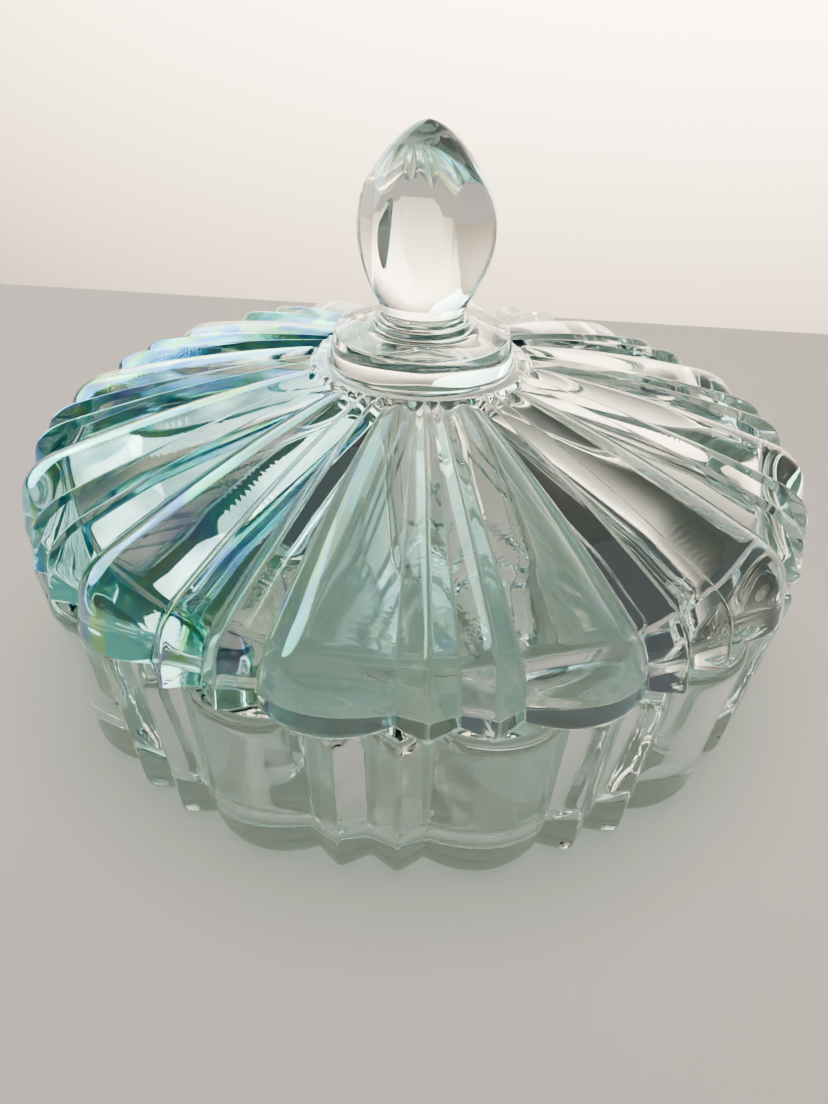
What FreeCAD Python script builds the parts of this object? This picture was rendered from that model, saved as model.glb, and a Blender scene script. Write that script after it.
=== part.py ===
# Pressed glass candy dish: a fluted round bowl and a lift-off lid with a faceted egg knob.
# Frame: origin at the centre of the bowl's base, +Z up, a double rib of the bowl on -Y. Millimetres.
import FreeCAD, Part
import math
import os

vector = FreeCAD.Vector

# pattern shared by bowl and lid: each repeat is a pair of V ribs and one wide round lobe
repeatCount = 12
ribAngle = 7.2          # width of one V rib, degrees
lobeProud = 1.006       # lobe crest radius over rib crest radius
lidTurn = 10.05         # how far the lid stands turned on the bowl, degrees
patternStart = -90.0    # the bowl's first rib pair faces -Y

# bowl
rimRadius = 89.0        # rib crests at the rim of bowl and lid
seatHeight = 41.8       # rest plane of the base to the seat for the lid
flute = 3.3             # depth of the bowl's V flutes, radial
rimRound = 2.6          # height of the polished round under the seat
rimInset = 1.7          # how far that round draws in
wallTaper = 2.9         # how far the wall draws in from rim to heel
heelHeight = 6.5        # height of the rounded heel
heelInset = 6.6         # how far the heel draws in to the rest face
heelSwell = 0.4         # the heel's round ends this far inside the wall
floorThickness = 5.0
rimWall = 3.5           # glass behind the V flutes at the seat
footWall = 3.8          # glass behind the V flutes at the heel
mouthDepth = 5.0        # straight part of the mouth
innerHeel = 8.0         # inside corner round between floor and wall
standRing = 20.1        # width from the wall to the shallow recess under the base
recessDepth = 0.8

# lid, heights above its own rim plane
seatGap = 0.2           # lid rim above the bowl's seat
lidFlute = 3.5          # depth of the lid's V flutes at its rim, radial
capRadius = 23.6        # flat under the collar, where the fluting starts
capHeight = 28.6
crestSlopeInset = 10.5  # rim to the outer end of the sloping top, along the rib crests
crestSlopeHeight = 16.0
crestBulge = 2.0        # how far the slope's control point stands above the straight line
crestSkirtLean = 1.2
crestSkirtHeight = 7.6
valleySlopeInset = 12.0
valleySlopeHeight = 10.8
valleyBulge = 3.1
valleySkirtLean = 2.3
valleySkirtHeight = 5.6
runOut = 1.0            # length over which the flutes fade in at the cap
runOutDrop = 1.6        # how deep the valleys are by then
ceilingInset = 11.5     # rim to the inside corner between ceiling and skirt
ceilingHeight = 7.0     # height of that corner
ceilingFlat = 20.0      # radius of the nearly flat middle of the ceiling
ceilingBulge = 1.1
capThickness = 4.2      # glass over the middle of the lid's hollow
ceilingDrop = 0.8       # the middle of the ceiling rises by this much
ringClearance = 0.7     # locating ring to the bowl's mouth, radial
ringThickness = 2.5
ringDepth = 3.0

# collar and neck, heights above the cap
collarFoot = 20.9
collarTop = 19.3
collarHeight = 6.5
collarRoot = 2.1        # how deep the collar is sunk into the cap
neckFoot = 11.6
neckFootHeight = 7.0
neckBead = 10.7
neckBeadHeight = 8.7
neckWaist = 9.0
neckWaistHeight = 10.3
eggSeat = 9.5
eggSeatHeight = 12.2

# egg knob; its outline is given in shares of its radius and height
eggRadius = 14.8
eggHeight = 34.6
eggBottom = 13.4        # where the egg starts, above the cap
bottomShare = 0.68
lowerShare = (0.885, 0.179)
middleShare = 0.419
upperShare = (0.845, 0.668)
shoulderShare = (0.379, 0.922)
tipShare = (0.22, 0.971)
tipFlatShare = 0.06
panelCount = 6
panelShare = 0.892      # panel face from the axis at its widest
panelMiddleShare = 0.39
panelCurve = 34.0       # radius of the panel along its height
panelTurn = 42.0        # first panel, degrees from the lid's first rib pair

mouthRadius = rimRadius - flute - rimWall
ringOuter = mouthRadius - ringClearance
ringInner = ringOuter - ringThickness


def polar(radius, degrees, height):
    angle = math.radians(degrees)
    return vector(radius * math.cos(angle), radius * math.sin(angle), height)


def patchFace(rows):
    # one smooth face from its grid of control points
    surface = Part.BezierSurface()
    surface.increase(len(rows) - 1, len(rows[0]) - 1)
    for i, row in enumerate(rows):
        for j, point in enumerate(row):
            surface.setPole(i + 1, j + 1, point)
    return surface.toShape()


def lobeRow(valleyPoint, lobePoint, first, last):
    # three control points across a lobe, its crest passing through the lobe profile
    start = polar(valleyPoint[0], first, valleyPoint[1])
    end = polar(valleyPoint[0], last, valleyPoint[1])
    crest = polar(lobePoint[0], (first + last) / 2, lobePoint[1])
    return [start, crest * 2 - (start + end) * 0.5, end]


def endFace(columns, index):
    # flat face closing the fluted skin at one end
    edges = []
    for column in columns:
        points = column[index]
        if len(points) == 2:
            edges.append(Part.makeLine(points[0], points[1]))
        else:
            curve = Part.BezierCurve()
            curve.setPoles(points)
            edges.append(curve.toShape())
    return Part.Face(Part.Wire(edges))


def flutedSolid(valley, crest, lobe, turn):
    # round solid whose skin runs through V ribs and lobes.
    # Each profile lists (radius, height): curve ends at even places, control points between.
    columns = []
    for repeat in range(repeatCount):
        middle = patternStart + turn + repeat * 360.0 / repeatCount
        stations = [
            (middle - ribAngle, valley), (middle - ribAngle / 2, crest), (middle, valley),
            (middle + ribAngle / 2, crest), (middle + ribAngle, valley),
        ]
        for (a, left), (b, right) in zip(stations[:-1], stations[1:]):
            columns.append([
                [polar(p[0], a, p[1]), polar(q[0], b, q[1])] for p, q in zip(left, right)
            ])
        first = middle + ribAngle
        last = middle + 360.0 / repeatCount - ribAngle
        columns.append([lobeRow(p, q, first, last) for p, q in zip(valley, lobe)])
    faces = []
    for column in columns:
        for k in range(0, len(valley) - 1, 2):
            faces.append(patchFace(column[k:k + 3]))
    faces.append(endFace(columns, 0))
    faces.append(endFace(columns, -1))
    skin = Part.makeCompound(faces)
    skin.sewShape()
    solid = Part.Solid(skin.Shells[0])
    if solid.Volume < 0:
        solid.reverse()
    return solid


def widened(profile):
    # the lobes stand slightly proud of the ribs, except where the fluting starts
    return [profile[0]] + [(r * lobeProud, z) for r, z in profile[1:]]


def halfway(p, q, raised=0):
    return ((p[0] + q[0]) / 2, (p[1] + q[1]) / 2 + raised)


def crossing(a, b, c, d):
    # where the line a-b meets the line c-d
    across = (b[0] - a[0]) * (d[1] - c[1]) - (b[1] - a[1]) * (d[0] - c[0])
    share = ((c[0] - a[0]) * (d[1] - c[1]) - (c[1] - a[1]) * (d[0] - c[0])) / across
    return (a[0] + share * (b[0] - a[0]), a[1] + share * (b[1] - a[1]))


def revolved(edges):
    face = Part.Face(Part.Wire(edges))
    return face.revolve(vector(0, 0, 0), vector(0, 0, 1), 360)


def flat(r, z):
    return vector(r, 0, z)


def line(p, q):
    return Part.makeLine(flat(*p), flat(*q))


def arc(p, q, r):
    return Part.Arc(flat(*p), flat(*q), flat(*r)).toShape()


def bowlProfile(drop):
    # outside of the bowl from the rest face up to the seat; drop is 0 on crests
    foot = rimRadius - wallTaper - drop
    rim = rimRadius - drop
    low = (foot, heelHeight)
    high = (rim, seatHeight - rimRound)
    return [
        (foot - heelInset, 0), (foot - heelSwell, 0), low, halfway(low, high), high,
        (rim, seatHeight), (rim - rimInset, seatHeight),
    ]


def makeBowl():
    crest = bowlProfile(0)
    lobe = [(r * lobeProud, z) for r, z in crest]
    body = flutedSolid(bowlProfile(flute), crest, lobe, 0)
    innerFoot = rimRadius - wallTaper - flute - footWall
    floorEdge = (innerFoot - innerHeel, floorThickness)
    bend = innerHeel * (1 - math.sqrt(0.5))
    heelMiddle = (innerFoot - bend, floorThickness + bend)
    wallFoot = (innerFoot, floorThickness + innerHeel)
    wallTop = (mouthRadius, seatHeight - mouthDepth)
    above = seatHeight + mouthDepth
    hollow = revolved([
        line((0, floorThickness), floorEdge),
        arc(floorEdge, heelMiddle, wallFoot),
        line(wallFoot, wallTop),
        line(wallTop, (mouthRadius, above)),
        line((mouthRadius, above), (0, above)),
        line((0, above), (0, floorThickness)),
    ])
    recessRadius = rimRadius - wallTaper - standRing
    recess = Part.makeCone(recessRadius + recessDepth, recessRadius, recessDepth)
    return body.cut(hollow).cut(recess)


def lidProfile(start, slopeEnd, bulge, skirtTop, rim):
    # outside of the lid from the cap down to the rim
    control = halfway(start, slopeEnd, bulge)
    shoulder = crossing(control, slopeEnd, rim, skirtTop)
    return [start, control, slopeEnd, shoulder, skirtTop, halfway(skirtTop, rim), rim]


def makeLidBody():
    capEdge = (capRadius, capHeight)
    crest = lidProfile(
        (capRadius + runOut, capHeight - runOut / 4),
        (rimRadius - crestSlopeInset, crestSlopeHeight),
        crestBulge,
        (rimRadius - crestSkirtLean, crestSkirtHeight),
        (rimRadius, 0),
    )
    valleyRim = rimRadius - lidFlute
    valley = lidProfile(
        (capRadius + runOutDrop, capHeight - runOutDrop),
        (rimRadius - valleySlopeInset, valleySlopeHeight),
        valleyBulge,
        (valleyRim - valleySkirtLean, valleySkirtHeight),
        (valleyRim, 0),
    )
    crest = [capEdge, (capRadius + runOut / 2, capHeight)] + crest
    valley = [capEdge, (capRadius + runOut / 2, capHeight - runOut)] + valley
    return flutedSolid(valley, crest, widened(crest), lidTurn)


def makeLidHollow():
    below = -ringDepth - 1
    corner = (rimRadius - ceilingInset, ceilingHeight)
    top = capHeight - capThickness
    inner = (ceilingFlat, top - ceilingDrop)
    return revolved([
        line((0, below), (ringInner, below)),
        line((ringInner, below), (ringInner, 0)),
        line((ringInner, 0), corner),
        arc(corner, halfway(corner, inner, ceilingBulge), inner),
        line(inner, (0, top)),
        line((0, top), (0, below)),
    ])


def makeRing():
    # drops inside the bowl's mouth and keeps the lid centred
    ring = Part.makeCylinder(ringOuter, ringDepth + 1, vector(0, 0, -ringDepth))
    core = Part.makeCylinder(ringInner, ringDepth + 1, vector(0, 0, -ringDepth))
    return ring.cut(core)


def eggPoint(radiusShare, heightShare):
    return (eggRadius * radiusShare, capHeight + eggBottom + eggHeight * heightShare)


def makeCollar():
    root = capHeight - collarRoot
    collarEdge = (collarTop, capHeight + collarHeight)
    neckBase = (neckFoot, capHeight + neckFootHeight)
    bead = (neckBead, capHeight + neckBeadHeight)
    waist = (neckWaist, capHeight + neckWaistHeight)
    seat = (eggSeat, capHeight + eggSeatHeight)
    neckTop = eggPoint(bottomShare, 0)
    return revolved([
        line((0, root), (collarFoot, root)),
        line((collarFoot, root), (collarFoot, capHeight)),
        line((collarFoot, capHeight), collarEdge),
        line(collarEdge, neckBase),
        line(neckBase, bead),
        arc(bead, waist, seat),
        line(seat, neckTop),
        line(neckTop, (0, neckTop[1])),
        line((0, neckTop[1]), (0, root)),
    ])


def makeEgg():
    low = eggPoint(bottomShare, 0)
    middle = eggPoint(1, middleShare)
    shoulder = eggPoint(*shoulderShare)
    tip = eggPoint(tipFlatShare, 1)
    egg = revolved([
        line((0, low[1]), low),
        arc(low, eggPoint(*lowerShare), middle),
        arc(middle, eggPoint(*upperShare), shoulder),
        arc(shoulder, eggPoint(*tipShare), tip),
        line(tip, (0, tip[1])),
        line((0, tip[1]), (0, low[1])),
    ])
    # each panel is the egg kept inside a lying drum, so the panels run out at both ends
    offset, height = eggPoint(panelShare, panelMiddleShare)
    for k in range(panelCount):
        angle = patternStart + lidTurn + panelTurn + k * 360.0 / panelCount
        outward = polar(1, angle, 0)
        along = polar(1, angle + 90, 0)
        centre = outward * (offset - panelCurve) + vector(0, 0, height)
        drum = Part.makeCylinder(panelCurve, 4 * eggRadius, centre - along * 2 * eggRadius, along)
        egg = egg.common(drum)
    return egg


def makeLid():
    body = makeLidBody().cut(makeLidHollow())
    lid = body.fuse(makeRing()).fuse(makeCollar()).fuse(makeEgg())
    lid = lid.removeSplitter()
    lid.translate(vector(0, 0, seatHeight + seatGap))
    return lid


def save(shape, node):
    solid = shape.Solids[0]
    solid.exportStep(os.path.join("parts", node + ".step"))
    print(node, "solids", len(shape.Solids), "valid", solid.isValid(), "volume", round(solid.Volume))


os.makedirs("parts", exist_ok=True)
save(makeBowl(), "bowl")
save(makeLid(), "lid")
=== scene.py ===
# Pressed glass candy dish: a fluted bowl and a lift-off lid with a collar and a faceted egg knob.
import math
import bpy
import numpy as np
from mathutils import Matrix, Vector


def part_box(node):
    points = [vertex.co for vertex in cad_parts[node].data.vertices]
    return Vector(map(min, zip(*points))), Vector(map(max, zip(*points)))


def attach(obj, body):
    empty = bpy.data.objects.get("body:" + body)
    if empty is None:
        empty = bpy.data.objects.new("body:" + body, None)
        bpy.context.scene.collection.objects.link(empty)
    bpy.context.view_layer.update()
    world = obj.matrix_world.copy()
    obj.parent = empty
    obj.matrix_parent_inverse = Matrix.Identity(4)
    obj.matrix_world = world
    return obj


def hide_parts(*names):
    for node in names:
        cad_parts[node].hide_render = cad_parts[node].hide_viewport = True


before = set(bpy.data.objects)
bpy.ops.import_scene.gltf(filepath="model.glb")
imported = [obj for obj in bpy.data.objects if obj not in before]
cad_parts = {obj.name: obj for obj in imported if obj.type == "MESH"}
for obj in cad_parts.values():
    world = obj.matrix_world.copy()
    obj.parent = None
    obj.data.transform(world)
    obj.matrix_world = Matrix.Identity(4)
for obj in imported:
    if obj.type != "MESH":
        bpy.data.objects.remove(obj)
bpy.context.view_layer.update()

mm = 0.001  # the pieces' sizes below are in millimetres, meshes and scene in metres
seatGap = 0.2
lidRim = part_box("bowl")[1][2] / mm + seatGap  # height of the lid's own rim plane, just over the bowl's seat
print("frame loaded, the lid's rim plane is at", round(lidRim, 2), "mm")


def bend(points, counts):
    # Rows (radius, height) along a chain of quadratic curves. Every other point is an end, and the one
    # between pulls the curve: the first end counts (1-t) squared, the pull 2t(1-t), the second end t squared.
    rows = []
    points = np.array(points, float)
    for k in range(0, len(points) - 2, 2):
        t = np.linspace(0, 1, counts[k // 2] + 1)[:, None]
        if k > 0:
            t = t[1:]
        rows.append((1 - t) ** 2 * points[k] + 2 * t * (1 - t) * points[k + 1] + t ** 2 * points[k + 2])
    return np.concatenate(rows)


def roundedLine(points, rounds, steps):
    # Rows along straight runs. Each inner corner b becomes a quadratic curve pulled by b, from one point to
    # another at the given length before and after it.
    points = np.array(points, float)
    out = [points[:1]]
    for a, b, c, cut in zip(points[:-2], points[1:-1], points[2:], rounds):
        start = b + (a - b) / np.linalg.norm(a - b) * cut
        end = b + (c - b) / np.linalg.norm(c - b) * cut
        t = np.linspace(0, 1, steps)[:, None]
        out.append((1 - t) ** 2 * start + 2 * t * (1 - t) * b + t ** 2 * end)
    out.append(points[-1:])
    return np.concatenate(out)


def spread(rows, count):
    # splits each of the first two steps evenly into more rows, where the flutes fade in
    t = np.linspace(0, 1, count)[:, None]
    first = rows[0] + (rows[1] - rows[0]) * t
    second = rows[1] + (rows[2] - rows[1]) * t[1:]
    return np.concatenate([first, second, rows[3:]])


def refine(rows, longest):
    # divides every step evenly, so that none is longer than longest
    out = [rows[:1]]
    for a, b in zip(rows[:-1], rows[1:]):
        n = max(1, int(np.ceil(np.linalg.norm(b - a) / longest)))
        t = np.linspace(0, 1, n + 1)[1:, None]
        out.append(a + (b - a) * t)
    return np.concatenate(out)


class Skin:
    # a closed mesh built from rings of points around the axis, ring after ring
    def __init__(self):
        self.points, self.faces, self.slots = [], [], []
        self.count, self.last, self.slot = 0, None, 0

    def pole(self, height):
        # one point on the axis, fanned out to the ring before or after it
        self.points.append(np.array([[0, 0, height]]))
        ring = (np.array([self.count]), np.array([0.0]))
        self.count += 1
        self.join(ring)

    def rings(self, radius, height, angles):
        # A grid of rows by columns: x is radius times cosine of the angle, y is radius times sine, and z is
        # height. The angles rise around the axis, one per column, or rows by columns.
        rows, columns = radius.shape
        angles = angles + 0 * radius
        x = radius * np.cos(angles)
        y = radius * np.sin(angles)
        self.points.append(np.stack([x, y, height], -1).reshape(-1, 3))
        ids = self.count + np.arange(rows * columns).reshape(rows, columns)
        self.count += rows * columns
        self.join((ids[0], angles[0]))
        a, b = ids[:-1], ids[1:]
        self.add(np.stack([a, b, np.roll(b, -1, 1), np.roll(a, -1, 1)], -1).reshape(-1, 4))
        self.last = (ids[-1], angles[-1])

    def turned(self, rows, columns, base=0.0):
        # a profile carried round the axis, the same at every angle, with its heights over base
        angles = np.arange(columns) * 2 * np.pi / columns - np.pi
        self.rings(np.repeat(rows[:, :1], columns, 1), np.repeat(rows[:, 1:] + base, columns, 1), angles)

    def add(self, faces):
        # a face whose last two corners are the same point is a triangle
        self.faces.append(faces)
        self.slots.append(np.full(len(faces), self.slot))

    def join(self, ring):
        # stitches the last ring to this one, whatever their numbers of points
        if self.last is None:
            self.last = ring
            return
        (a, angleA), (b, angleB) = self.last, ring
        n, m = len(a), len(b)
        if n == 1:
            k = np.arange(m)
            tri = np.stack([np.full(m, a[0]), b[k], b[(k + 1) % m]], -1)
        elif m == 1:
            k = np.arange(n)
            tri = np.stack([a[k], np.full(n, b[0]), a[(k + 1) % n]], -1)
        else:
            # walks both rings by angle from the same place; each step makes one triangle
            angleB = angleA[0] + (angleB - angleA[0]) % (2 * np.pi)
            b, angleB = b[np.argsort(angleB)], np.sort(angleB)
            nextA = np.append(angleA[1:], angleA[0] + 2 * np.pi)
            nextB = np.append(angleB[1:], angleB[0] + 2 * np.pi)
            onB = np.append(np.zeros(n, int), np.ones(m, int))
            onB = onB[np.lexsort((onB, np.append(nextA, nextB)))]
            i = np.cumsum(onB == 0) - (onB == 0)
            j = np.cumsum(onB == 1) - (onB == 1)
            third = np.where(onB == 0, a[(i + 1) % n], b[(j + 1) % m])
            tri = np.stack([a[i % n], b[j % m], third], -1)
        self.add(np.concatenate([tri, tri[:, 2:]], 1))
        self.last = ring

    def mesh(self, name, materials):
        # puts the whole arrays into one smooth mesh
        points = np.concatenate(self.points) * mm
        quads = np.concatenate(self.faces)
        counts = np.where(quads[:, 2] == quads[:, 3], 3, 4)
        corners = quads[np.arange(4)[None] < counts[:, None]]
        data = bpy.data.meshes.new(name)
        data.vertices.add(len(points))
        data.vertices.foreach_set("co", points.ravel())
        data.loops.add(len(corners))
        data.loops.foreach_set("vertex_index", corners)
        data.polygons.add(len(counts))
        data.polygons.foreach_set("loop_start", np.cumsum(counts) - counts)
        data.polygons.foreach_set("loop_total", counts)
        data.polygons.foreach_set("material_index", np.concatenate(self.slots))
        data.polygons.foreach_set("use_smooth", np.ones(len(counts), bool))
        data.update(calc_edges=True)
        for material in materials:
            data.materials.append(material)
        piece = bpy.data.objects.new(name, data)
        bpy.context.scene.collection.objects.link(piece)
        print(name, "made,", np.sum(counts - 2), "triangles")
        return piece


# Angles in degrees. A repeat is a pair of V ribs, then one wide round lobe, which stands a little proud.
# beside places the columns at a crease; an arch's height rises archRise times as fast as its width.
pattern = dict(
    repeats=12, rib=7.2, proud=1.006, soft=0.22, start=-90.0, lidTurn=10.05, archRise=1.3, leastWidth=0.02,
    beside=[-0.55, -0.3, -0.12, 0.12, 0.3, 0.55], lobeMargin=0.9, lobeColumns=17,
)


def fluteAngles(turn):
    # every column's place in the pattern, in degrees, and its angle on the piece, in radians
    step, rib, margin = 360 / pattern["repeats"], pattern["rib"], pattern["lobeMargin"]
    creases = np.array([-rib, -rib / 2, 0, rib / 2, rib])
    beside = (creases[:, None] + np.array(pattern["beside"])).ravel()
    between = creases[:-1] + rib / 4
    lobe = np.linspace(rib + margin, step - rib - margin, pattern["lobeColumns"])
    one = np.sort(np.concatenate([beside, between, lobe]))
    degrees = (one[None] + step * np.arange(pattern["repeats"])[:, None]).ravel()
    return degrees, np.radians(degrees + pattern["start"] + turn)


def fluteShare(degrees, width=1.0):
    # How far a column stands out, 0 in a valley and 1 on a crest, and whether it is on a lobe. A rib is a
    # straight V whose crest a hyperbola rounds, and a lobe is a parabola. Width draws lobes in to an arch.
    half, rib, soft = 180 / pattern["repeats"], pattern["rib"], pattern["soft"]
    x = (degrees + half) % (2 * half) - half
    fromCrest = np.abs(np.abs(x) - rib / 2)
    top = math.hypot(rib / 2, soft)
    ribs = (top - np.sqrt(fromCrest ** 2 + soft ** 2)) / (top - soft)
    across = (half - np.abs(x)) / (half - rib)
    lobes = np.maximum(1 - (across / np.maximum(width, pattern["leastWidth"])) ** 2, 0)
    lobes = lobes * np.minimum(pattern["archRise"] * width, 1)
    inRib = np.abs(x) <= rib
    return np.where(inRib, np.maximum(ribs, 0), lobes), ~inRib


# (radius, height) over the lid's rim plane, from the tip down; panels are barrels cut into the egg
knob = dict(
    profile=[
        (0.0, 76.6), (2.6, 76.3), (5.5, 73.9), (9.1, 70.9), (12.5, 65.1), (14.8, 61.0), (14.8, 56.3),
        (14.8, 52.2), (13.0, 47.9), (11.3, 43.9), (10.0, 41.9), (9.75, 41.2), (9.5, 40.7), (8.7, 39.4),
        (9.2, 38.2)],
    counts=[10, 24, 14, 20, 10, 4, 6],
    panels=6, offset=13.2, middle=55.5, curve=34.0, turn=42.0,
    crease=0.15, leastHalf=2.0, panelColumns=17, ridgeColumns=9,
)


def addKnob(skin):
    # A row's radius is the egg's, or less where a panel cuts it: a panel's distance from the axis is its
    # barrel's at that height, over the cosine of the angle from the panel's middle. The columns crowd at
    # the panels' edges, which part as the egg swells.
    rows = bend(knob["profile"], knob["counts"])
    radius, z = rows[1:, :1], rows[1:, 1:]
    barrel = knob["offset"] - knob["curve"] + np.sqrt(knob["curve"] ** 2 - (z - knob["middle"]) ** 2)
    half = np.maximum(np.degrees(np.arccos(np.minimum(barrel / radius, 1))), knob["leastHalf"])
    step, crease = 360 / knob["panels"], knob["crease"]
    panel = (half - crease) * np.linspace(-1, 1, knob["panelColumns"])
    ridge = half + crease + (step - 2 * crease - 2 * half) * np.linspace(0, 1, knob["ridgeColumns"])
    degrees = np.concatenate([panel, ridge], 1)
    cut = np.minimum(radius, barrel / np.cos(np.radians((degrees + step / 2) % step - step / 2)))
    degrees = np.concatenate([degrees + step * k for k in range(knob["panels"])], 1)
    cut = np.tile(cut, (1, knob["panels"]))
    turn = pattern["start"] + pattern["lidTurn"] + knob["turn"]
    skin.pole(rows[0, 1] + lidRim)
    skin.rings(cut, z + 0 * cut + lidRim, np.radians(degrees + turn))


# (radius, height) over the lid's rim plane. Rounds is the length cut off at each corner, corner the rows in
# it, step the longest step between rows. The lobes grow out of arches that start at archStart.
lid = dict(
    collar=[(9.2, 38.2), (10.4, 37.6), (11.0, 36.2), (12.2, 35.7), (19.3, 35.1), (20.9, 28.75), (23.6, 28.6)],
    collarRounds=[0.4, 0.5, 0.6, 0.35, 0.9], collarCorner=5, collarStep=1.4, collarColumns=240,
    crestLead=[(23.7, 28.58), (24.2, 28.48)], valleyLead=[(23.75, 28.5), (24.4, 27.95)],
    crest=[
        (24.6, 28.35), (51.5, 24.2), (78.5, 16.0), (86.85, 13.55), (87.8, 7.6), (88.45, 3.5), (88.95, 0.7)],
    valley=[
        (25.2, 27.0), (51.1, 22.0), (77.0, 10.8), (82.3, 8.9), (83.2, 5.6), (84.3, 3.0), (85.4, 0.7)],
    counts=[40, 15, 8], fadeRows=6, archStart=24.2, archLength=3.6,
    rimInset=[0.15, 0.45, 0.9], rimHeight=[0.3, 0.08, 0.0],
    inside=[
        (82.4, 0.0), (81.5, 0.0), (81.3, -3.0), (79.1, -3.0), (79.0, 0.0), (77.6, 6.8), (64.0, 12.4),
        (50.0, 16.4), (35.0, 20.3), (20.0, 23.6), (1.0, 24.4)],
    insideRounds=[0.4, 0.8, 0.8, 0.6, 1.6, 3.0, 3.0, 3.0, 3.0], insideCorner=6, insideStep=2.6,
    insideColumns=300,
)


def makeLid(materials):
    # knob and collar, the fluted top down to the rim, then the locating ring and the ceiling back to the axis
    skin = Skin()
    addKnob(skin)
    collar = roundedLine(lid["collar"], lid["collarRounds"], lid["collarCorner"])[1:]
    skin.turned(refine(collar, lid["collarStep"]), lid["collarColumns"], lidRim)
    # each point lies between the valley's and the crest's profile by its column's share;
    # width follows a quarter circle along the arch
    degrees, angles = fluteAngles(pattern["lidTurn"])
    crest = spread(bend(lid["crest"], lid["counts"]), lid["fadeRows"])
    valley = spread(bend(lid["valley"], lid["counts"]), lid["fadeRows"])
    crest = np.concatenate([lid["crestLead"], crest])
    valley = np.concatenate([lid["valleyLead"], valley])
    t = np.clip((crest[:, :1] - lid["archStart"]) / lid["archLength"], 0, 1)
    share, lobes = fluteShare(degrees[None], np.sqrt(1 - (1 - t) ** 2))
    proud = 1 + (pattern["proud"] - 1) * lobes * share
    radius = (valley[:, :1] + share * (crest[:, :1] - valley[:, :1])) * proud
    height = valley[:, 1:] + share * (crest[:, 1:] - valley[:, 1:])
    skin.rings(radius, height + lidRim, angles)
    # rounded edge of the rim
    edge = radius[-1]
    inset = np.array(lid["rimInset"])[:, None]
    skin.rings(edge - inset, np.array(lid["rimHeight"])[:, None] + 0 * edge + lidRim, angles)
    skin.slot = 1
    inside = roundedLine(lid["inside"], lid["insideRounds"], lid["insideCorner"])
    skin.turned(refine(inside, lid["insideStep"]), lid["insideColumns"], lidRim)
    skin.pole(inside[-1, 1] + lidRim)
    return skin.mesh("lidGlass", materials)


# (radius, height) over the plane that it stands on; flute is the depth of the flutes
bowl = dict(
    inside=[(1.0, 5.0), (79.0, 5.0), (79.0, 13.0), (82.2, 36.8), (82.2, 41.8), (83.2, 41.8)],
    insideRounds=[8.0, 1.0, 1.0, 0.5], insideCorner=10, insideStep=2.4,
    crest=[(79.5, 0.0), (85.7, 0.0), (86.1, 6.5), (87.5, 22.8), (89.0, 39.2), (89.0, 41.8), (87.3, 41.8)],
    counts=[14, 22, 8], flute=3.3,
    under=[(74.0, 0.0), (66.8, 0.0), (66.0, 0.8), (1.0, 0.8)], underRounds=[0.4, 0.4], underCorner=5,
    underStep=6.0, columns=360,
)


def makeBowl(materials):
    # the inside from its middle up to the seat, the fluted wall and heel, then the underside back to the axis
    skin = Skin()
    skin.slot = 1
    inside = roundedLine(bowl["inside"], bowl["insideRounds"], bowl["insideCorner"])
    skin.pole(inside[0, 1])
    skin.turned(refine(inside, bowl["insideStep"]), bowl["columns"])
    # each point lies inside the crest's profile by the depth that its column's share leaves
    skin.slot = 0
    degrees, angles = fluteAngles(0)
    crest = bend(bowl["crest"], bowl["counts"])[::-1]
    share, lobes = fluteShare(degrees[None])
    proud = 1 + (pattern["proud"] - 1) * lobes * share
    radius = (crest[:, :1] - bowl["flute"] * (1 - share)) * proud
    skin.rings(radius, np.repeat(crest[:, 1:], len(angles), 1), angles)
    under = roundedLine(bowl["under"], bowl["underRounds"], bowl["underCorner"])
    skin.turned(refine(under, bowl["underStep"]), bowl["columns"])
    skin.pole(under[-1, 1])
    return skin.mesh("bowlGlass", materials)


class Value:
    # a shader value that can be used in formulas
    def __init__(self, look, socket):
        self.look, self.socket = look, socket

    def math(self, operation, *values):
        made = self.look.node("Math", dict(operation=operation), dict(enumerate(values)))
        return Value(self.look, made.outputs[0])

    def __add__(self, other):
        return self.math("ADD", self, other)

    def __radd__(self, other):
        return self.math("ADD", other, self)

    def __sub__(self, other):
        return self.math("SUBTRACT", self, other)

    def __rsub__(self, other):
        return self.math("SUBTRACT", other, self)

    def __mul__(self, other):
        return self.math("MULTIPLY", self, other)

    def __rmul__(self, other):
        return self.math("MULTIPLY", other, self)

    def __truediv__(self, other):
        return self.math("DIVIDE", self, other)

    def __rtruediv__(self, other):
        return self.math("DIVIDE", other, self)

    def root(self):
        return self.math("SQRT", self)

    def sine(self):
        return self.math("SINE", self)

    def ramp(self, low, high):
        # 0 below low, 1 above high, smooth between
        made = self.look.node(
            "MapRange", dict(interpolation_type="SMOOTHSTEP"), {0: self, 1: low, 2: high, 3: 0.0, 4: 1.0})
        return Value(self.look, made.outputs[0])


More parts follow.
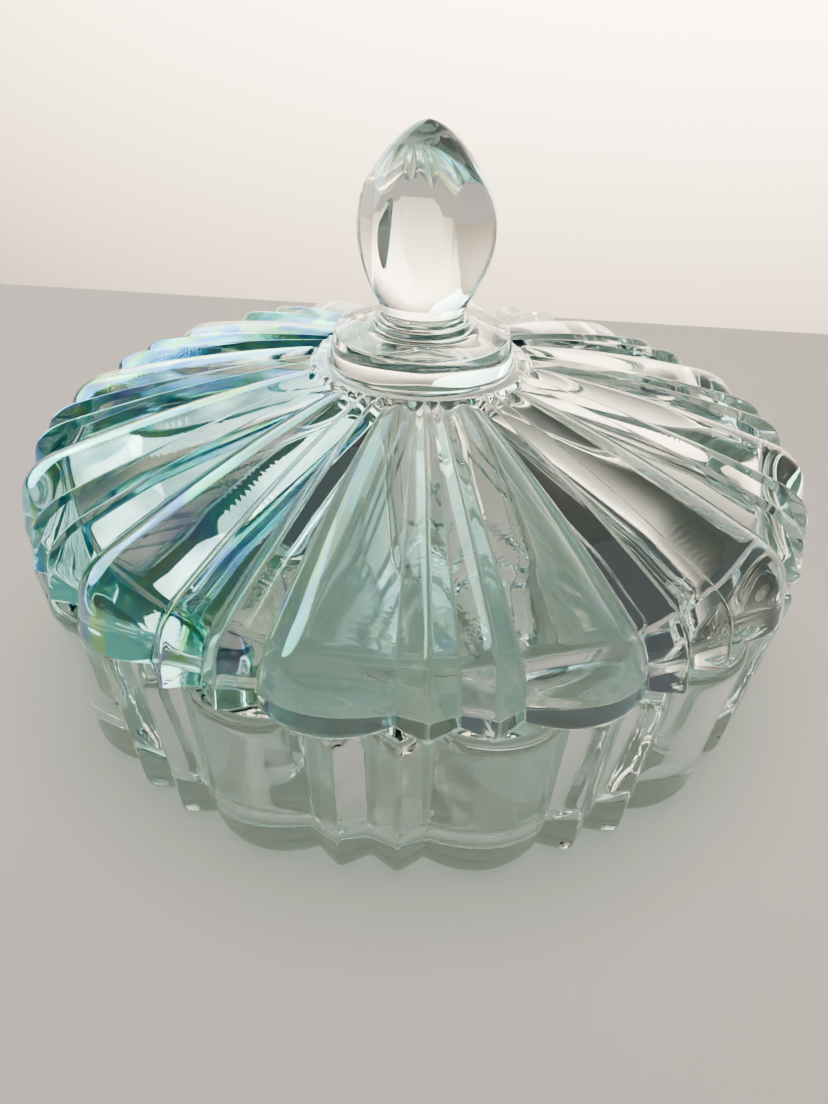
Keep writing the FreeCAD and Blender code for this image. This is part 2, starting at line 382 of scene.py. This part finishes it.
class Look:
    # one material and the nodes in it
    def __init__(self, name):
        self.material = bpy.data.materials.new(name)
        self.material.use_nodes = True
        self.tree = self.material.node_tree
        self.tree.nodes.clear()

    def node(self, kind, settings=None, inputs=None):
        made = self.tree.nodes.new("ShaderNode" + kind)
        for key, value in (settings or {}).items():
            setattr(made, key, value)
        for key, value in (inputs or {}).items():
            if isinstance(value, Value):
                self.tree.links.new(value.socket, made.inputs[key])
            else:
                made.inputs[key].default_value = value
        return made

    def value(self, node, output=0):
        return Value(self, node.outputs[output])

    def place(self):
        # position on the piece, in metres
        axes = self.node("SeparateXYZ", None, {0: self.value(self.node("TexCoord"), "Object")})
        return [self.value(axes, k) for k in range(3)]

    def noise(self, x, y, z, scale, detail=2.0, rough=0.5, distortion=0.0):
        at = self.node("CombineXYZ", None, {0: x, 1: y, 2: z})
        return self.value(self.node("TexNoise", None, {
            "Vector": self.value(at), "Scale": scale, "Detail": detail, "Roughness": rough,
            "Distortion": distortion}))

    def clear(self, tint, normal):
        return self.value(self.node("BsdfPrincipled", None, {
            "Base Color": (*tint, 1), "Roughness": 0.0, "IOR": 1.52, "Transmission Weight": 1.0,
            "Normal": normal}))

    def sheen(self, color, normal):
        # one colour of the lustre, a thin mirror-like layer
        return self.value(self.node("BsdfPrincipled", None, {
            "Base Color": (*color, 1), "Metallic": 1.0, "Roughness": lustre["roughness"], "Normal": normal}))

    def mixed(self, factor, a, b):
        return self.value(self.node("MixShader", None, {0: factor, 1: a, 2: b}))

    def finish(self, surface, tint):
        # lamps shine through the glass, a little dimmed, as they do through real glass
        lamp = self.value(self.node("LightPath"), "Is Shadow Ray")
        through = self.value(self.node("BsdfTransparent", None, {"Color": (*tint, 1)}))
        self.node("OutputMaterial", None, {"Surface": self.mixed(lamp, surface, through)})
        print("look made:", self.material.name)
        return self.material


# Lengths in metres. The surface waves slowly, and the chill marks are rings 1.4 mm apart: period is in
# radians per metre, and drift is how far they wander, in radians.
glass = dict(
    tint=(0.865, 0.915, 0.90), waveScale=38.0, waveHeight=0.00012,
    period=4600.0, drift=30.0, driftScale=60.0, chillHeight=0.000004, chillRadius=(0.035, 0.062),
    patchScale=45.0, patchRange=(0.42, 0.62),
)
# Each colour lies over the one before it where its own streaks pass its range. The sand is the fine grain,
# which fades at the skirt. Side is the span along X over which the painted sheen on the lamps' side, towards
# -X, fades out. Thin and spotLeast are the shares left where the lustre is weakest, and hub is added to the
# radius so that the direction outwards is defined on the axis too.
lustre = dict(
    cyan=(0.24, 0.92, 0.86), blue=(0.14, 0.40, 1.0), green=(0.50, 0.95, 0.36), violet=(0.52, 0.40, 0.95),
    blueRange=(0.48, 0.60), greenRange=(0.50, 0.62), violetRange=(0.60, 0.70), facingShare=0.1,
    streaks=(4.0, 5.5, 7.0), streakScale=1.7, streakAlong=24.0, hub=0.002,
    roughness=0.10, sandScale=1700.0, sandShare=0.2, grain=0.12, grainHeight=0.0002,
    side=(-0.005, 0.045), thin=0.12, spotScale=1.9, spotAround=4.0, spotAlong=26.0, spotRange=(0.38, 0.60),
    spotLeast=0.35, collarRadius=(0.022, 0.027), skirtRadius=(0.076, 0.082),
)


def chillMarks(look, x, y, z, r):
    # a sine of the distance from the axis plus a noise, in patches, strongest near the shoulder
    wander = look.noise(x, y, z, glass["driftScale"], 3.0, 0.6, 1.2)
    line = (r * glass["period"] + wander * glass["drift"]).sine()
    patch = look.noise(x, y, z, glass["patchScale"]).ramp(*glass["patchRange"])
    return line * r.ramp(*glass["chillRadius"]) * patch


def lustreColors(look, outX, outY, r, normal):
    # Four coloured sheens, mixed by streaks that run out from the knob: their noise changes fast around the
    # axis and slowly along the radius.
    streak = []
    for k in lustre["streaks"]:
        along = r * lustre["streakAlong"] + k
        streak.append(look.noise(outX * k, outY * k, along, lustre["streakScale"], 3.0, 0.6, 0.8))
    facing = look.value(look.node("LayerWeight", None, {"Blend": 0.5}), "Facing")
    cyan, blue, green, violet = [look.sheen(lustre[k], normal) for k in ("cyan", "blue", "green", "violet")]
    toBlue = (streak[0] + facing * lustre["facingShare"]).ramp(*lustre["blueRange"])
    colors = look.mixed(toBlue, cyan, blue)
    colors = look.mixed(streak[1].ramp(*lustre["greenRange"]), colors, green)
    return look.mixed(streak[2].ramp(*lustre["violetRange"]), colors, violet)


def glassLook(name, film, bare, waves):
    # Clear glass with the lustre mixed over it. Film is the lustre's strength, bare its strength on knob and
    # collar, waves that of the chill marks.
    look = Look(name)
    x, y, z = look.place()
    r = (x * x + y * y).root()
    slow = look.noise(x, y, z, glass["waveScale"])
    mark = chillMarks(look, x, y, z, r) * waves
    height = slow * glass["waveHeight"] + mark * glass["chillHeight"]
    smooth = look.value(look.node("Bump", None, {"Strength": 1.0, "Distance": 1.0, "Height": height}))
    clear = look.clear(glass["tint"], smooth)
    if film == 0:
        return look.finish(clear, glass["tint"])
    sand = look.noise(x, y, z, lustre["sandScale"], 1.0) * (1.0 - r.ramp(*lustre["skirtRadius"]))
    grain = look.value(look.node("Bump", None, {
        "Strength": lustre["grain"], "Distance": lustre["grainHeight"], "Height": sand, "Normal": smooth}))
    outX, outY = x / (r + lustre["hub"]), y / (r + lustre["hub"])
    colors = lustreColors(look, outX, outY, r, grain)
    # it lies in spots and a little by the grain; its share is also raised towards -X, where the lamps stand,
    # a painted sheen on the lit side
    thin, least, bySand = lustre["thin"], lustre["spotLeast"], lustre["sandShare"]
    litSideShare = (x * -1.0).ramp(*lustre["side"]) * (1 - thin) + thin
    around = lustre["spotAround"]
    spots = look.noise(outX * around, outY * around, r * lustre["spotAlong"], lustre["spotScale"])
    spots = spots.ramp(*lustre["spotRange"]) * (1 - least) + least
    strength = r.ramp(*lustre["collarRadius"]) * (film - bare) + bare
    share = (sand * bySand + (1 - bySand)) * litSideShare * spots * strength
    return look.finish(look.mixed(share, clear, colors), glass["tint"])


lidPiece = makeLid([glassLook("lidOutside", 0.66, 0.14, 0.0), glassLook("lidInside", 0.12, 0.05, 1.0)])
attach(lidPiece, "lid_body")
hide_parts("lid")
bowlPiece = makeBowl([glassLook("bowlOutside", 0.12, 0.12, 0.0), glassLook("bowlInside", 0.0, 0.0, 0.0)])
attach(bowlPiece, "bowl_body")
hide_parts("bowl")

# in metres; the floor ends just behind the dish, and the backdrop stands further off
stage = dict(
    half=3.0, front=-3.0, edge=0.235, floorColor=(0.50, 0.47, 0.45), floorRoughness=0.85,
    wall=1.6, low=-1.5, high=2.6, wallColor=(0.78, 0.74, 0.68), wallRoughness=0.9,
    roomLight=(0.15, 0.15, 0.147), roomSeen=(0.46, 0.44, 0.42),
)
# places and sizes in metres, power in watts; only says what the lamp falls on, the glass or the floor
lamps = [
    dict(name="backLeft", place=(-0.61, 0.97, 0.67), target=(0, 0, 0.05), size=(1.0, 0.9),
         power=6.5, color=(0.70, 1.0, 0.93), only="glass"),
    dict(name="left", place=(-1.15, 0.42, 0.48), target=(0, 0, 0.05), size=(1.0, 0.8),
         power=9, color=(0.70, 1.0, 0.93), only="glass"),
    dict(name="overhead", place=(0, 0, 1.1), target=(0, 0, 0.05), size=(0.9, 0.9),
         power=15, color=(1.0, 0.94, 0.88), only="floor"),
    dict(name="wallWash", place=(0.15, 1.0, 0.4), target=(0.12, 1.6, -0.1), size=(3.4, 0.3),
         power=70, color=(1.0, 0.85, 0.70)),
    dict(name="wallRight", place=(1.3, 0.95, 0.9), target=(1.4, 1.6, 0.7), size=(1.4, 1.0),
         power=10, color=(1.0, 0.93, 0.85)),
]


def makePlane(name, corners, color, roughness):
    # a flat four-cornered sheet that belongs to the stage
    material = bpy.data.materials.new(name + "Look")
    material.use_nodes = True
    shader = material.node_tree.nodes["Principled BSDF"]
    shader.inputs["Base Color"].default_value = (*color, 1)
    shader.inputs["Roughness"].default_value = roughness
    data = bpy.data.meshes.new(name)
    data.from_pydata(corners, [], [(0, 1, 2, 3)])
    data.materials.append(material)
    sheet = bpy.data.objects.new(name, data)
    bpy.context.scene.collection.objects.link(sheet)


def hangLamp(name, place, target, size, power, color, only=None):
    # an oval lamp that points from its place to its target
    data = bpy.data.lights.new(name, "AREA")
    data.shape = "ELLIPSE"
    data.size, data.size_y = size
    data.energy = power
    data.color = color
    lamp = bpy.data.objects.new(name, data)
    lamp.location = place
    lamp.rotation_euler = (Vector(target) - Vector(place)).to_track_quat("-Z", "Y").to_euler()
    lamp.visible_camera = False
    lamp.visible_glossy = lamp.visible_transmission = only != "floor"
    lamp.visible_diffuse = only != "glass"
    bpy.context.scene.collection.objects.link(lamp)


def makeWorld(light, seen):
    # the room lights the dish dimly, but looks pale where nothing stands in front of it
    world = bpy.data.worlds.new("studio")
    world.use_nodes = True
    nodes, links = world.node_tree.nodes, world.node_tree.links
    path = nodes.new("ShaderNodeLightPath")
    pick = nodes.new("ShaderNodeMixShader")
    dim, pale = nodes["Background"], nodes.new("ShaderNodeBackground")
    dim.inputs["Color"].default_value = (*light, 1)
    pale.inputs["Color"].default_value = (*seen, 1)
    links.new(path.outputs["Is Camera Ray"], pick.inputs[0])
    links.new(dim.outputs[0], pick.inputs[1])
    links.new(pale.outputs[0], pick.inputs[2])
    links.new(pick.outputs[0], nodes["World Output"].inputs["Surface"])
    bpy.context.scene.world = world


def makeStage():
    # floor and backdrop as rectangles, the lamps, and the room's own light
    half, front, edge = stage["half"], stage["front"], stage["edge"]
    wall, low, high = stage["wall"], stage["low"], stage["high"]
    floor = [(-half, front, 0), (half, front, 0), (half, edge, 0), (-half, edge, 0)]
    backdrop = [(-half, wall, low), (half, wall, low), (half, wall, high), (-half, wall, high)]
    makePlane("floor", floor, stage["floorColor"], stage["floorRoughness"])
    makePlane("backdrop", backdrop, stage["wallColor"], stage["wallRoughness"])
    for lamp in lamps:
        hangLamp(**lamp)
    makeWorld(stage["roomLight"], stage["roomSeen"])
    print("stage made, with", len(lamps), "lamps")


makeStage()

# angles in radians; out from the axis and above the lid's rim plane in metres; lens and sensor in mm
camera = dict(
    azimuth=math.radians(4.5), out=0.1779, above=0.1007, pitch=0.617, roll=0.034, yaw=-0.001,
    lens=36.04, sensor=36,
)


def makeCamera():
    # It looks along the heading, down by the pitch. Its right and up are the level direction and the one
    # square to both, turned by the roll: cosine of one plus or minus sine of the other.
    azimuth, pitch, roll = camera["azimuth"], camera["pitch"], camera["roll"]
    heading = camera["yaw"] - azimuth
    level = math.cos(pitch)
    forward = Vector((math.sin(heading) * level, math.cos(heading) * level, -math.sin(pitch)))
    side = Vector((math.cos(heading), -math.sin(heading), 0))
    over = side.cross(forward)
    right = math.cos(roll) * side + math.sin(roll) * over
    up = math.cos(roll) * over - math.sin(roll) * side
    x, y = camera["out"] * math.sin(azimuth), -camera["out"] * math.cos(azimuth)
    place = Matrix.Translation((x, y, lidRim * mm + camera["above"]))
    data = bpy.data.cameras.new("camera")
    data.sensor_fit = "HORIZONTAL"
    data.sensor_width = camera["sensor"]
    data.lens = camera["lens"]
    data.clip_start = 0.01
    eye = bpy.data.objects.new("camera", data)
    eye.matrix_world = place @ Matrix((right, up, -forward)).transposed().to_4x4()
    bpy.context.scene.collection.objects.link(eye)
    bpy.context.scene.camera = eye
    print("camera made")


makeCamera()
# light goes through many glass walls before it leaves the dish
cycles = bpy.context.scene.cycles
cycles.max_bounces, cycles.transmission_bounces, cycles.glossy_bounces = 24, 24, 12
cycles.transparent_max_bounces = 32
bpy.context.scene.view_settings.look = "AgX - High Contrast"
bpy.context.scene.view_settings.exposure = -0.3
